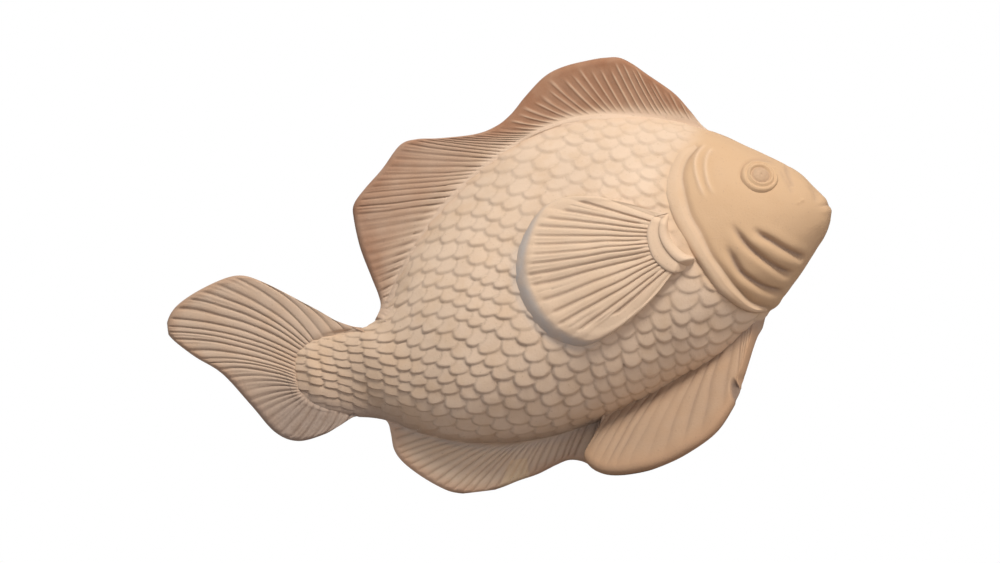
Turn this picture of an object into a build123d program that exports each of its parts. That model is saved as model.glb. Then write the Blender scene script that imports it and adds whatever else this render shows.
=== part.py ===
"""Standing fish of unglazed earthenware, in millimetres.

The head points to +X, the back to +Z and the right flank to -Y. The origin is under the middle of the figure,
on the ground that its lower fins stand on."""

import math
import os

from build123d import *

# Overall sizes
figure_length = 337.0
figure_height = 208.0
body_half_width = 43.0

# Clay thicknesses
wall = 7.5
fin_thickness = 7.0
pelvic_thickness = 7.0
pectoral_thickness = 6.5
pectoral_edge_thickness = 3.2
fin_root_thickness = 7.6
fin_fold_thickness = 9.2
gill_rim_thickness = 3.2
fin_edge_bevel = 2.0

# Joints of scored and slipped clay
slip_film = 0.15
root_depth = 4.5

# Body axis, from the root of the tail to the lips, and the body's depth across it
axis_start_shares = (-0.245, 0.328)
axis_end_shares = (0.499, 0.5755)
body_depth_share = 0.697

# Across the axis: place along it, top and bottom of the section, half width, and how full the section is
station_shares = (
    (-0.113, 0.076, -0.034, 0.128, 1.0),
    (-0.082, 0.131, -0.093, 0.151, 1.0),
    (-0.023, 0.141, -0.148, 0.209, 1.0),
    (0.039, 0.128, -0.197, 0.314, 0.9),
    (0.107, 0.168, -0.296, 0.488, 0.6),
    (0.195, 0.321, -0.379, 0.698, 0.3),
    (0.312, 0.466, -0.434, 0.872, 0.1),
    (0.449, 0.559, -0.441, 0.977, 0.0),
    (0.586, 0.576, -0.414, 1.000, 0.0),
    (0.703, 0.507, -0.369, 0.965, 0.2),
    (0.811, 0.397, -0.279, 0.872, 0.6),
    (0.889, 0.279, -0.193, 0.698, 0.9),
    (0.953, 0.166, -0.103, 0.465, 1.0),
    (0.982, 0.086, -0.062, 0.302, 1.0),
    (0.998, 0.038, -0.028, 0.186, 1.0),
)

# Runs of the stations with one more between each two: tail root, scaled trunk, head, hollow, roots of the fins
tail_run = slice(0, 7)
trunk_run = slice(6, 19)
head_run = slice(18, 29)
cavity_run = slice(8, 25)
root_run = slice(6, 25)

# Flank of a section from belly to back: share of the half width, share of the depth
lean_flank_shares = (
    (0.0, 0.0), (0.30, 0.012), (0.62, 0.065), (0.93, 0.22), (1.0, 0.40),
    (0.82, 0.63), (0.42, 0.86), (0.17, 0.965), (0.0, 1.0),
)
full_flank_shares = (
    (0.0, 0.0), (0.28, 0.012), (0.55, 0.06), (0.87, 0.22), (1.0, 0.46),
    (0.94, 0.68), (0.68, 0.88), (0.36, 0.972), (0.0, 1.0),
)

# Flats: along each flank from belly to back, between two places of a fin's outline, and around the eye
flank_flats = 12
edge_flats = 3
eye_flats = 24

# What the nearer and the farther stations add to one between two
near_share = 0.5625
far_share = -0.0625

# How far each row of scales is tucked under the row above it
scale_lap = 1.2

# Outlines on the median plane
dorsal_edge_shares = (
    (0.322, 0.773), (0.319, 0.812), (0.305, 0.861), (0.279, 0.907), (0.246, 0.953), (0.222, 0.988),
    (0.197, 1.0), (0.155, 0.994), (0.118, 0.978), (0.074, 0.932), (0.034, 0.877), (0.0, 0.856),
    (-0.056, 0.853), (-0.106, 0.855), (-0.130, 0.839), (-0.153, 0.798), (-0.189, 0.747),
    (-0.205, 0.702), (-0.203, 0.639), (-0.195, 0.572), (-0.184, 0.495), (-0.188, 0.450),
    (-0.200, 0.425),
)
tail_edge_shares = (
    (-0.230, 0.432), (-0.266, 0.462), (-0.314, 0.518), (-0.354, 0.562), (-0.384, 0.582),
    (-0.417, 0.574), (-0.457, 0.546), (-0.487, 0.518), (-0.5, 0.486), (-0.490, 0.443),
    (-0.453, 0.393), (-0.413, 0.329), (-0.376, 0.245), (-0.353, 0.192), (-0.328, 0.173),
    (-0.293, 0.180), (-0.261, 0.202), (-0.236, 0.214),
)
anal_edge_shares = (
    (-0.212, 0.225), (-0.194, 0.195), (-0.187, 0.157), (-0.185, 0.123), (-0.176, 0.090),
    (-0.147, 0.050), (-0.118, 0.012), (-0.091, -0.008), (-0.057, -0.011), (-0.031, 0.004),
    (0.003, 0.018), (0.039, 0.041), (0.068, 0.052), (0.092, 0.080), (0.098, 0.112),
)

# Rays pressed into both faces of the dorsal fin: where some of them start and end, the others lie between
dorsal_ray_shares = (
    ((0.298, 0.833), (0.285, 0.884)), ((0.267, 0.851), (0.235, 0.945)), ((0.223, 0.864), (0.177, 0.970)),
    ((0.173, 0.874), (0.122, 0.955)), ((0.123, 0.874), (0.075, 0.912)), ((0.070, 0.853), (0.018, 0.850)),
    ((0.028, 0.822), (-0.072, 0.841)), ((-0.013, 0.785), (-0.130, 0.814)), ((-0.056, 0.732), (-0.178, 0.731)),
    ((-0.093, 0.677), (-0.190, 0.670)), ((-0.126, 0.608), (-0.186, 0.594)), ((-0.152, 0.548), (-0.180, 0.534)),
)
rays_between = 2
ray_depth = 1.0
ray_root_width = 2.0
ray_tip_width = 3.6

# Outlines as seen from the side, on the flank
pelvic_edge_shares = (
    (0.386, 0.348), (0.382, 0.330), (0.363, 0.275), (0.345, 0.211), (0.326, 0.144), (0.303, 0.098),
    (0.274, 0.060), (0.237, 0.026), (0.198, 0.003), (0.161, -0.008), (0.129, -0.007),
    (0.103, 0.015), (0.084, 0.048), (0.090, 0.085), (0.120, 0.135),
)
pectoral_edge_shares = (
    (0.228, 0.605), (0.203, 0.632), (0.174, 0.652), (0.138, 0.666), (0.101, 0.670), (0.071, 0.655),
    (0.048, 0.616), (0.029, 0.564), (0.020, 0.513), (0.022, 0.459), (0.036, 0.399), (0.060, 0.348),
    (0.097, 0.317), (0.127, 0.323), (0.164, 0.351), (0.208, 0.397), (0.233, 0.440), (0.248, 0.466),
)
pectoral_face_shares = (
    (0.228, 0.600), (0.203, 0.625), (0.174, 0.645), (0.138, 0.658), (0.106, 0.658), (0.083, 0.640),
    (0.063, 0.604), (0.047, 0.557), (0.039, 0.508), (0.040, 0.455), (0.059, 0.390), (0.078, 0.360),
    (0.112, 0.334), (0.130, 0.340), (0.164, 0.365), (0.208, 0.408), (0.233, 0.450), (0.246, 0.474),
)
fin_root_edge_shares = (
    (0.258, 0.611), (0.235, 0.606), (0.221, 0.578), (0.219, 0.544), (0.223, 0.507), (0.235, 0.481),
    (0.251, 0.463), (0.268, 0.467), (0.278, 0.475),
)
fin_root_fold_shares = (
    (0.258, 0.611), (0.243, 0.590), (0.238, 0.567), (0.241, 0.540), (0.250, 0.509), (0.264, 0.487),
    (0.278, 0.475),
)
fin_root_back_shares = (
    (0.278, 0.475), (0.287, 0.495), (0.274, 0.507), (0.261, 0.531), (0.254, 0.559), (0.258, 0.611),
)
gill_outer_shares = (
    (0.303, 0.774), (0.280, 0.745), (0.263, 0.705), (0.256, 0.665), (0.258, 0.626), (0.265, 0.571),
    (0.281, 0.515), (0.294, 0.472), (0.311, 0.418), (0.331, 0.382), (0.350, 0.360), (0.370, 0.350),
)
gill_inner_shares = (
    (0.376, 0.361), (0.362, 0.376), (0.343, 0.411), (0.327, 0.456), (0.312, 0.499), (0.301, 0.552),
    (0.290, 0.598), (0.285, 0.655), (0.285, 0.696), (0.295, 0.730), (0.312, 0.758),
)

# Pelvic fins: line along the belly that they spring from, and how far they flare
pelvic_base_shares = ((0.135, 0.121), (0.384, 0.338))
pelvic_offset = 12.0
pelvic_flare = 42.0

# Eye
eye_shares = (0.398, 0.671)
eye_radius = 9.5
eye_height = 2.8
ring_share = 0.84
ring_land_share = 0.05
groove_share = 0.60
pupil_share = 0.35
eye_sink = 3.0

# Mouth
mouth_shares = (0.497, 0.584)
mouth_depth = 9.0
mouth_gape = 2.4

# Pin-hole through the belly seam that lets the air out in the kiln
vent_shares = (0.183, 0.167)
vent_radius = 1.5

overrun = 2.0


def spot(shares):
    """A place on the median plane from shares of the figure's length and height."""
    return (shares[0] * figure_length, shares[1] * figure_height)


axis_start = Vector(spot(axis_start_shares))
axis_end = Vector(spot(axis_end_shares))
body_length = (axis_end - axis_start).length
body_depth = figure_height * body_depth_share


def section_plane(along):
    """Plane across the body axis, with its own x to the right flank and its own y to the back."""
    rise = math.atan2(axis_end.Y - axis_start.Y, axis_end.X - axis_start.X)
    start_x, start_z = spot(axis_start_shares)
    reach = along * body_length
    return Plane(
        origin=(start_x + reach * math.cos(rise), 0, start_z + reach * math.sin(rise)),
        x_dir=(0, -1, 0),
        z_dir=(-math.cos(rise), 0, -math.sin(rise)),
    )


def flank_points(station, inset, side):
    """Belly to back along one flank of a section that is drawn in by inset all round."""
    _, top, bottom, width, fullness = station
    half = side * (width * body_half_width - inset)
    low = bottom * body_depth + inset
    depth = top * body_depth - inset - low
    points = []
    for lean, full in zip(lean_flank_shares, full_flank_shares):
        out = lean[0] + (full[0] - lean[0]) * fullness
        up = lean[1] + (full[1] - lean[1]) * fullness
        points.append((half * out, low + depth * up))
    return points


def flat_points(station, inset, side):
    """Corners of the flats along one flank of a section, belly to back."""
    flank = Spline(flank_points(station, inset, side), mode=Mode.PRIVATE)
    return [flank @ (step / flank_flats) for step in range(flank_flats + 1)]


def filled_stations(rows):
    """The stations with one more between each two, on a smooth run through them."""
    before = [2 * a - b for a, b in zip(rows[0], rows[1])]
    after = [2 * a - b for a, b in zip(rows[-1], rows[-2])]
    padded = [before, *rows, after]
    filled = [rows[0]]
    for farther, nearer, following, last in zip(padded, padded[1:], padded[2:], padded[3:]):
        spread = zip(farther, nearer, following, last)
        filled.append([far_share * (a + d) + near_share * (b + c) for a, b, c, d in spread])
        filled.append(following)
    return filled


def lapped_points(station):
    """Right flank of a section through the rows of scales, each tucked under the next towards the back."""
    corners = flat_points(station, 0, 1)
    tucked = flat_points(station, scale_lap, 1)
    steps = [point for pair in zip(tucked[1:-1], corners[1:-1]) for point in pair]
    return [corners[0], *steps, corners[-1]]


def body_form(inset, run=slice(None), whole=False, lapped=False):
    """The body's form drawn in by inset, or let out where that is negative: the right half, or the whole."""
    with BuildPart() as form:
        for station in filled_stations(station_shares)[run]:
            with BuildSketch(section_plane(station[0])):
                with BuildLine():
                    corners = lapped_points(station) if lapped else flat_points(station, inset, 1)
                    if whole:
                        corners += flat_points(station, inset, -1)[-2:0:-1]
                    Polyline(corners, close=True)
                make_face()
        loft(ruled=True)
    return form.part


def right_cavity():
    """Hollow of the right half, scraped out in flats."""
    with BuildPart() as cavity:
        for station in filled_stations(station_shares)[cavity_run]:
            with BuildSketch(section_plane(station[0])):
                with BuildLine():
                    Polyline(flank_points(station, wall, 1), close=True)
                make_face()
        loft(ruled=True)
    return cavity.part


def draw_smooth(edge):
    """Closed outline with one smooth edge, given by its places, for the line in hand."""
    curve = Spline([spot(shares) for shares in edge])
    Line(curve @ 1, curve @ 0)


def draw_flats(edges):
    """Closed outline of curved edges in short flats, each given by its places, for the line in hand."""
    corners = []
    for edge in edges:
        curve = Spline([spot(shares) for shares in edge], mode=Mode.PRIVATE)
        flats = edge_flats * (len(edge) - 1)
        corners += [curve @ (step / flats) for step in range(flats + 1)]
    rounds = zip(corners, corners[1:] + corners[:1])
    Polyline([corner for corner, following in rounds if (following - corner).length > slip_film], close=True)


def side_block(edges, near, far):
    """Block with one outline from the side, between two distances to the right of the median plane."""
    with BuildPart() as block:
        for distance in (near, far):
            with BuildSketch(Plane.XZ.offset(distance)):
                with BuildLine():
                    draw_flats(edges)
                make_face()
        loft(ruled=True)
    return block.part


def median_fin(edge, thickness, depth, bevel):
    """Slab on the median plane, its free edge bevelled, whose root reaches depth into the body."""
    with BuildPart() as fin:
        for distance in (-thickness / 2, thickness / 2):
            with BuildSketch(Plane.XZ.offset(distance)):
                with BuildLine():
                    draw_smooth(edge)
                make_face()
        loft(ruled=True)
        if bevel:
            chamfer(fin.edges().filter_by(GeomType.BSPLINE), bevel)
        if depth:
            add(body_form(depth, root_run, whole=True), mode=Mode.SUBTRACT)
        split(bisect_by=Plane.XY, keep=Keep.TOP)
    return fin.part


def ray_corners():
    """Corners of each pressed ray of the dorsal fin, narrow at its root and wide at its tip."""
    corners = []
    for near, far in zip(dorsal_ray_shares, dorsal_ray_shares[1:]):
        for step in range(rays_between):
            part = step / rays_between
            root, tip = [Vector(spot(a)) * (1 - part) + Vector(spot(b)) * part for a, b in zip(near, far)]
            across = (tip - root).normalized().rotate(Axis.Z, 90)
            root_half = across * (ray_root_width / 2)
            tip_half = across * (ray_tip_width / 2)
            corners.append([root - root_half, tip - tip_half, tip + tip_half, root + root_half])
    return corners


def pelvic_fin(thickness, depth):
    """Right leaf that springs from the belly and flares outward to the ground."""
    rear_x, rear_z = spot(pelvic_base_shares[0])
    front_x, front_z = spot(pelvic_base_shares[1])
    run = Vector(front_x - rear_x, 0, front_z - rear_z).normalized()
    flare = math.radians(pelvic_flare)
    out = Vector(run.Z, 0, -run.X) * math.cos(flare) + Vector(0, -1, 0) * math.sin(flare)
    leaf_plane = Plane(origin=(rear_x, -pelvic_offset, rear_z), x_dir=run, z_dir=run.cross(out))
    with BuildPart() as fin:
        add(side_block([pelvic_edge_shares], 0, body_half_width + thickness + overrun))
        with BuildSketch(leaf_plane):
            Rectangle(figure_length, figure_length)
        extrude(amount=thickness / 2, both=True, mode=Mode.INTERSECT)
        add(body_form(depth, root_run, whole=True), mode=Mode.SUBTRACT)
        split(bisect_by=Plane.XY, keep=Keep.TOP)
    return fin.part


def flank_pad(edges, thickness):
    """Slab of even thickness laid on the right flank."""
    with BuildPart() as pad:
        add(side_block(edges, 0, body_half_width + thickness + overrun))
        add(body_form(-thickness), mode=Mode.INTERSECT)
        add(body_form(-slip_film), mode=Mode.SUBTRACT)
    return pad.part


right_form = body_form(0)

with BuildPart() as dorsal_fin:
    add(median_fin(dorsal_edge_shares, fin_thickness, root_depth, fin_edge_bevel))
    for side in (-1, 1):
        with BuildSketch(Plane.XZ.offset(side * (fin_thickness / 2 - ray_depth))):
            for corners in ray_corners():
                with BuildLine():
                    Polyline(corners, close=True)
                make_face()
        extrude(amount=side * (ray_depth + overrun), mode=Mode.SUBTRACT)

with BuildPart() as tail_fin:
    add(median_fin(tail_edge_shares, fin_thickness, 0, fin_edge_bevel))

with BuildPart() as anal_fin:
    add(median_fin(anal_edge_shares, fin_thickness, root_depth, fin_edge_bevel))

with BuildPart() as right_pelvic_fin:
    add(pelvic_fin(pelvic_thickness, root_depth))

with BuildPart() as right_pectoral_fin:
    add(flank_pad([pectoral_edge_shares], pectoral_edge_thickness))
    add(flank_pad([pectoral_face_shares], pectoral_thickness))
    lap_reach = body_half_width + pectoral_thickness + overrun
    add(side_block([fin_root_edge_shares, fin_root_back_shares], 0, lap_reach), mode=Mode.SUBTRACT)

with BuildPart() as right_fin_root:
    add(flank_pad([fin_root_edge_shares, fin_root_back_shares], fin_root_thickness))
    add(flank_pad([fin_root_fold_shares, fin_root_back_shares], fin_fold_thickness))

with BuildPart() as right_gill_rim:
    add(flank_pad([gill_outer_shares, gill_inner_shares], gill_rim_thickness))

eye_x, eye_z = spot(eye_shares)
eye_hits = right_form.find_intersection_points(Axis((eye_x, -figure_length, eye_z), (0, 1, 0)))
eye_point, eye_normal = eye_hits[0]
eye_plane = Plane(origin=eye_point, z_dir=eye_normal)
ring_radius = eye_radius * ring_share
ring_land = eye_radius * ring_land_share
groove_radius = eye_radius * groove_share
pupil_radius = eye_radius * pupil_share
ring_lean = math.degrees(math.atan2(eye_radius - ring_radius, eye_height))
groove_lean = math.degrees(math.atan2(ring_radius - ring_land - groove_radius, eye_height))
pupil_lean = math.degrees(math.atan2(groove_radius - pupil_radius, eye_height))
with BuildPart() as right_eye:
    with BuildSketch(eye_plane):
        RegularPolygon(eye_radius, eye_flats)
    extrude(amount=-eye_sink)
    with BuildSketch(eye_plane):
        RegularPolygon(eye_radius, eye_flats)
    extrude(amount=eye_height, taper=ring_lean)
    with BuildSketch(eye_plane):
        RegularPolygon(groove_radius, eye_flats)
    extrude(amount=eye_height, taper=-groove_lean, mode=Mode.SUBTRACT)
    with BuildSketch(eye_plane):
        RegularPolygon(groove_radius, eye_flats)
    extrude(amount=eye_height, taper=pupil_lean)

axis_direction = section_plane(0).z_dir * -1
mouth_x, mouth_z = spot(mouth_shares)
mouth_plane = Plane(origin=(mouth_x, 0, mouth_z), x_dir=axis_direction, z_dir=(0, -1, 0))
vent_x, vent_z = spot(vent_shares)
vent_plane = Plane(origin=(vent_x, 0, vent_z), x_dir=(0, -1, 0), z_dir=section_plane(0).y_dir)

with BuildPart() as right_body_half:
    add(body_form(0, tail_run))
    add(body_form(0, trunk_run, lapped=True))
    add(body_form(0, head_run))
    add(right_cavity(), mode=Mode.SUBTRACT)
    slot_thickness = fin_thickness + 2 * slip_film
    slot_depth = root_depth + slip_film
    add(median_fin(dorsal_edge_shares, slot_thickness, slot_depth, 0), mode=Mode.SUBTRACT)
    add(median_fin(tail_edge_shares, slot_thickness, 0, 0), mode=Mode.SUBTRACT)
    add(median_fin(anal_edge_shares, slot_thickness, slot_depth, 0), mode=Mode.SUBTRACT)
    add(pelvic_fin(pelvic_thickness + 2 * slip_film, slot_depth), mode=Mode.SUBTRACT)
    with BuildSketch(eye_plane):
        RegularPolygon(eye_radius + slip_film, eye_flats)
    extrude(amount=eye_sink + slip_film, both=True, mode=Mode.SUBTRACT)
    with BuildSketch(mouth_plane):
        Polygon((-mouth_depth, 0), (overrun, mouth_gape / 2), (overrun, -mouth_gape / 2), align=None)
    extrude(amount=body_half_width, mode=Mode.SUBTRACT)
    with BuildSketch(vent_plane):
        Circle(vent_radius)
    extrude(amount=wall + overrun, both=True, mode=Mode.SUBTRACT)

right_pieces = {
    "body_half": right_body_half,
    "pelvic_fin": right_pelvic_fin,
    "pectoral_fin": right_pectoral_fin,
    "fin_root": right_fin_root,
    "gill_rim": right_gill_rim,
    "eye": right_eye,
}
median_pieces = {"dorsal_fin": dorsal_fin, "tail_fin": tail_fin, "anal_fin": anal_fin}

os.makedirs("parts", exist_ok=True)
for name, piece in median_pieces.items():
    piece.part.label = name
    export_step(piece.part, f"parts/{name}.step")

for name, piece in right_pieces.items():
    piece.part.label = f"right_{name}"
    export_step(piece.part, f"parts/right_{name}.step")
    with BuildPart() as left_piece:
        mirror(piece.part, about=Plane.XZ)
    left_piece.part.label = f"left_{name}"
    export_step(left_piece.part, f"parts/left_{name}.step")
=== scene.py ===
"""Looks of the standing earthenware fish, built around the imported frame.

Sizes are in millimetres in the shared frame. Places measured in the picture are in its pixels.
"""

import math

import bpy
import numpy as np
from mathutils import Matrix, Vector
from mathutils.bvhtree import BVHTree


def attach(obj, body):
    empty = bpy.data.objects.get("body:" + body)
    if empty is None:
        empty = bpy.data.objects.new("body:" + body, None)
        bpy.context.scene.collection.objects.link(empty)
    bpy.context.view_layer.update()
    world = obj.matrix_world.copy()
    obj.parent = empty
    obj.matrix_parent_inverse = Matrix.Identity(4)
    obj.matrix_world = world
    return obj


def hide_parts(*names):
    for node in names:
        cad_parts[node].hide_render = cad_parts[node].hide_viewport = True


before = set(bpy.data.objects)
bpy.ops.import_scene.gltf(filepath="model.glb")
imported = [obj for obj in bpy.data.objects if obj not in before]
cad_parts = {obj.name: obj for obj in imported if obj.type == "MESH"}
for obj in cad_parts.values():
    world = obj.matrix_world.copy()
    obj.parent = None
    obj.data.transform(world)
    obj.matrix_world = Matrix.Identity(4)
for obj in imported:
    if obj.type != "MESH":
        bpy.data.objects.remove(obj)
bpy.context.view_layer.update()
scene = bpy.context.scene

MM = 0.001
PIXEL = 0.5
ROLL = math.radians(6.88)
PICTURE_FOOT = (462.0, 493.7)
FOOT_X = -32.2
FIGURE = np.array([337.0, 208.0])
LEFT_LIMIT, TOP_LIMIT, FLOOR_GAP = -168.4, 208.0, 0.02


# Curves and fields

def place(points):
    """Pixels of the picture, turned upright and to scale: x and z on the median plane."""
    offset = np.asarray(points, float) - PICTURE_FOOT
    dx, dy = offset[..., 0], offset[..., 1]
    x = PIXEL * (dx * math.cos(ROLL) - dy * math.sin(ROLL)) + FOOT_X
    z = PIXEL * (-dx * math.sin(ROLL) - dy * math.cos(ROLL))
    return np.stack([x, z], -1)


def through(points, t):
    """Smooth curve through the points at the places t, counted in points."""
    p = np.asarray(points, float)
    ends = np.vstack([2 * p[:1] - p[1:2], p, 2 * p[-1:] - p[-2:-1]])
    t = np.clip(t, 0, len(p) - 1)
    k = np.minimum(t.astype(int), len(p) - 2)
    f = (t - k)[:, None]
    a, b, c, d = ends[k], ends[k + 1], ends[k + 2], ends[k + 3]
    return 0.5 * (2 * b + (c - a) * f + (2 * a - 5 * b + 4 * c - d) * f**2 + (3 * b - a - 3 * c + d) * f**3)


def length_of(vectors):
    return np.linalg.norm(vectors, axis=-1)


def run_along(points):
    """Distance from the first point along a run of points."""
    return np.r_[0, np.cumsum(length_of(np.diff(points, axis=0)))]


def spaced(points, count):
    """Evenly spaced places along a run of points."""
    run = run_along(points)
    want = np.linspace(0, run[-1], count)
    return np.stack([np.interp(want, run, column) for column in points.T], 1)


def even(points, count, per_span=40):
    """Evenly spaced places on the smooth curve through the points."""
    spans = len(points) - 1
    return spaced(through(points, np.linspace(0, spans, per_span * spans + 1)), count)


def ramp(x, knots):
    """Straight runs between knots of place and value."""
    places, values = zip(*knots)
    return np.interp(x, places, values)


def smooth(low, high, x):
    """Soft step from 0 at low to 1 at high; it falls where low is the larger."""
    t = np.clip((x - low) / (high - low), 0, 1)
    return t * t * (3 - 2 * t)


def window(x, rise, top, fall, end):
    """Soft step up from rise to top and down again from fall to end."""
    return smooth(rise, top, x) * smooth(end, fall, x)


def bell(x, width):
    return np.exp(-((x / width) ** 2))


def round_fall(x):
    """Quarter circle that falls from 1 at 0 to 0 at 1."""
    return np.sqrt(np.clip(1 - np.clip(x, 0, 1) ** 2, 0, 1))


def round_rise(x):
    """Quarter circle that rises from 0 at 0 to 1 at 1."""
    return round_fall(1 - np.clip(x, 0, 1))


HASH_STEP, HASH_FACTOR = np.uint64(0x9E3779B9), np.uint64(0xBF58476D1CE4E5B9)
HASH_FOLD, HASH_DROP, HASH_TOP = np.uint64(29), np.uint64(11), 0xFFFFF


def shaken(*keys):
    """A fixed random number from 0 to 1 for each set of whole numbers."""
    h = np.zeros(np.broadcast(*keys).shape, np.uint64)
    for key in keys:
        whole = np.asarray(key).astype(np.int64).astype(np.uint64)
        h = (h ^ (whole + HASH_STEP)) * HASH_FACTOR
        h ^= h >> HASH_FOLD
    return ((h >> HASH_DROP) & np.uint64(HASH_TOP)).astype(float) / HASH_TOP


def drift(x, y, seed):
    """Soft uneven field from -1 to 1 that changes over a unit of x and y."""
    x0, y0 = np.floor(x), np.floor(y)
    fx, fy = smooth(0, 1, x - x0), smooth(0, 1, y - y0)
    corner = [[shaken(x0 + i, y0 + j, seed) for j in (0, 1)] for i in (0, 1)]
    top = corner[0][0] * (1 - fx) + corner[1][0] * fx
    low = corner[0][1] * (1 - fx) + corner[1][1] * fx
    return 2 * (top * (1 - fy) + low * fy) - 1


def uneven(spots, size, seed):
    """Drift over the side view with lumps of about the given size."""
    return drift(spots[..., 0] / size, spots[..., 1] / size, seed)


# Meshes

def numbered(rows, cols):
    return np.arange(rows * cols).reshape(rows, cols)


def grid_faces(index):
    """Quads between neighbours in a grid of point numbers."""
    return np.stack([index[:-1, :-1], index[:-1, 1:], index[1:, 1:], index[1:, :-1]], -1).reshape(-1, 4)


def on_side(points, side):
    """List of points from a grid, mirrored for the left side."""
    return points.reshape(-1, 3) * (1, 1 if side == "right" else -1, 1)


def new_object(name, data):
    item = bpy.data.objects.new(name, data)
    scene.collection.objects.link(item)
    return item


def make_piece(name, points, quads, loops, node, material, marks, flip):
    """Mesh object from points in millimetres that stands for a CAD node; loops are flat closing faces."""
    faces = [*quads.tolist(), *loops]
    mesh = bpy.data.meshes.new(name)
    mesh.from_pydata(points * MM, [], [face[::-1] for face in faces] if flip else faces)
    mesh.polygons.foreach_set("use_smooth", np.arange(len(faces)) < len(quads))
    for mark, values in marks.items():
        layer = mesh.attributes.new(mark, "FLOAT", "POINT")
        layer.data.foreach_set("value", np.broadcast_to(values, len(points)).astype(np.float32))
    mesh.validate()
    mesh.materials.append(material)
    piece = new_object(name, mesh)
    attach(piece, "root")
    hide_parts(node)


def both_faces(outer, inner):
    """Rows of a slab that run up its outer face and back down its inner one."""
    return np.concatenate([outer, inner[:, -2::-1]], 1)


def on_both_faces(marks):
    return {label: both_faces(field, field) for label, field in marks.items()}


def grid_piece(name, grid, side, node, material, marks):
    """Piece from a grid of points, closed between the two ends of its rows and at its first and last row."""
    index = numbered(*grid.shape[:2])
    loops = [(row[0], after[0], after[-1], row[-1]) for row, after in zip(index[:-1], index[1:])]
    loops += [list(index[0, ::-1]), list(index[-1])]
    marks = {label: field.ravel() for label, field in marks.items()}
    points, quads, flip = on_side(grid, side), grid_faces(index), side == "right"
    make_piece(name, points, quads, loops, node, material, marks, flip)


# Clay

# Grey of real slip, also used to grey painted shade.
SLIP_AND_SHADE_GREY = (0.47, 0.435, 0.405)
CHIP_BUFF = (0.68, 0.51, 0.335)
GRAIN_HEIGHT = 0.0004


def toned(colour, factor):
    return tuple(min(1.0, factor * channel) for channel in colour)


def empty_tree(owner):
    owner.use_nodes = True
    owner.node_tree.nodes.clear()
    return owner.node_tree


def with_inputs(node, values):
    for label, value in values.items():
        node.inputs[label].default_value = value
    return node


def clay(name, pale, deep, shade, stain, grain=0.3):
    """Matte fired clay: two tones that drift; the marks say where shade and highlights are painted, where it
    is stained, where slip lies or grey is painted as shade, and where it is chipped.
    """
    material = bpy.data.materials.new(name)
    tree = empty_tree(material)
    nodes, links = tree.nodes, tree.links
    out = nodes.new("ShaderNodeOutputMaterial")
    surface = with_inputs(nodes.new("ShaderNodeBsdfPrincipled"), {"Specular IOR Level": 0.22})
    links.new(surface.outputs["BSDF"], out.inputs["Surface"])
    where = nodes.new("ShaderNodeTexCoord").outputs["Object"]

    def noise(scale, detail, rough=0.55):
        values = {"Scale": scale, "Detail": detail, "Roughness": rough}
        node = with_inputs(nodes.new("ShaderNodeTexNoise"), values)
        links.new(where, node.inputs["Vector"])
        return node.outputs["Fac"]

    def mark(label):
        node = nodes.new("ShaderNodeAttribute")
        node.attribute_name = label
        return node.outputs["Fac"]

    def span(value, low, high, to_low, to_high):
        values = {"From Min": low, "From Max": high, "To Min": to_low, "To Max": to_high}
        node = with_inputs(nodes.new("ShaderNodeMapRange"), values)
        links.new(value, node.inputs["Value"])
        return node.outputs["Result"]

    def times(a, b):
        node = nodes.new("ShaderNodeMath")
        node.operation = "MULTIPLY"
        node.use_clamp = True
        links.new(a, node.inputs[0])
        links.new(b, node.inputs[1])
        return node.outputs[0]

    def mix(amount, under, over):
        node = nodes.new("ShaderNodeMix")
        node.data_type = "RGBA"
        links.new(amount, node.inputs["Factor"])
        for socket, colour in ((node.inputs["A"], under), (node.inputs["B"], over)):
            if isinstance(colour, tuple):
                socket.default_value = (*colour, 1.0)
            else:
                links.new(colour, socket)
        return node.outputs["Result"]

    broad = noise(22, 3)
    cloud = noise(95, 4)
    speck = noise(900, 2)
    fine = noise(2600, 3, 0.7)
    layers = (
        (span(broad, 0.35, 0.65, 0, 1), toned(pale, 0.9)),
        (mark("warm"), deep),
        # The deep tone drifts in more strongly where shade is painted.
        (times(span(cloud, 0.42, 0.72, 0, 0.55), span(mark("hollow"), 0, 0.6, 0.6, 1)), deep),
        (times(mark("stain"), span(cloud, 0.3, 0.7, 0.72, 1)), stain),
        # Painted shade: the shade colour mixed into grooves, creases and shaded undersides.
        (times(mark("hollow"), span(speck, 0.3, 0.7, 0.7, 0.95)), shade),
        # Grey of real slip at the roots and round the pectoral fin, and grey painted shade on shaded parts.
        (times(mark("slip"), span(cloud, 0.35, 0.6, 0.45, 0.95)), SLIP_AND_SHADE_GREY),
        (times(mark("chip"), span(speck, 0.3, 0.7, 0.8, 1)), CHIP_BUFF),
        # Painted highlight: a paler tone on the cheek arcs, the dorsal ridges and along the dorsal foot.
        (mark("rub"), toned(pale, 1.16)),
        (span(speck, 0.66, 0.74, 0, 0.35), shade),
        (span(fine, 0.3, 0.7, 0, 0.16), toned(pale, 0.72)),
    )
    colour = pale
    for amount, over in layers:
        colour = mix(amount, colour, over)
    links.new(colour, surface.inputs["Base Color"])
    links.new(span(cloud, 0.3, 0.7, 0.74, 0.92), surface.inputs["Roughness"])
    heap = with_inputs(nodes.new("ShaderNodeMath"), {1: 0.45})
    heap.operation = "MULTIPLY_ADD"
    links.new(fine, heap.inputs[0])
    links.new(speck, heap.inputs[2])
    bump = with_inputs(nodes.new("ShaderNodeBump"), {"Strength": grain, "Distance": GRAIN_HEIGHT})
    links.new(heap.outputs[0], bump.inputs["Height"])
    links.new(bump.outputs["Normal"], surface.inputs["Normal"])
    return material


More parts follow.
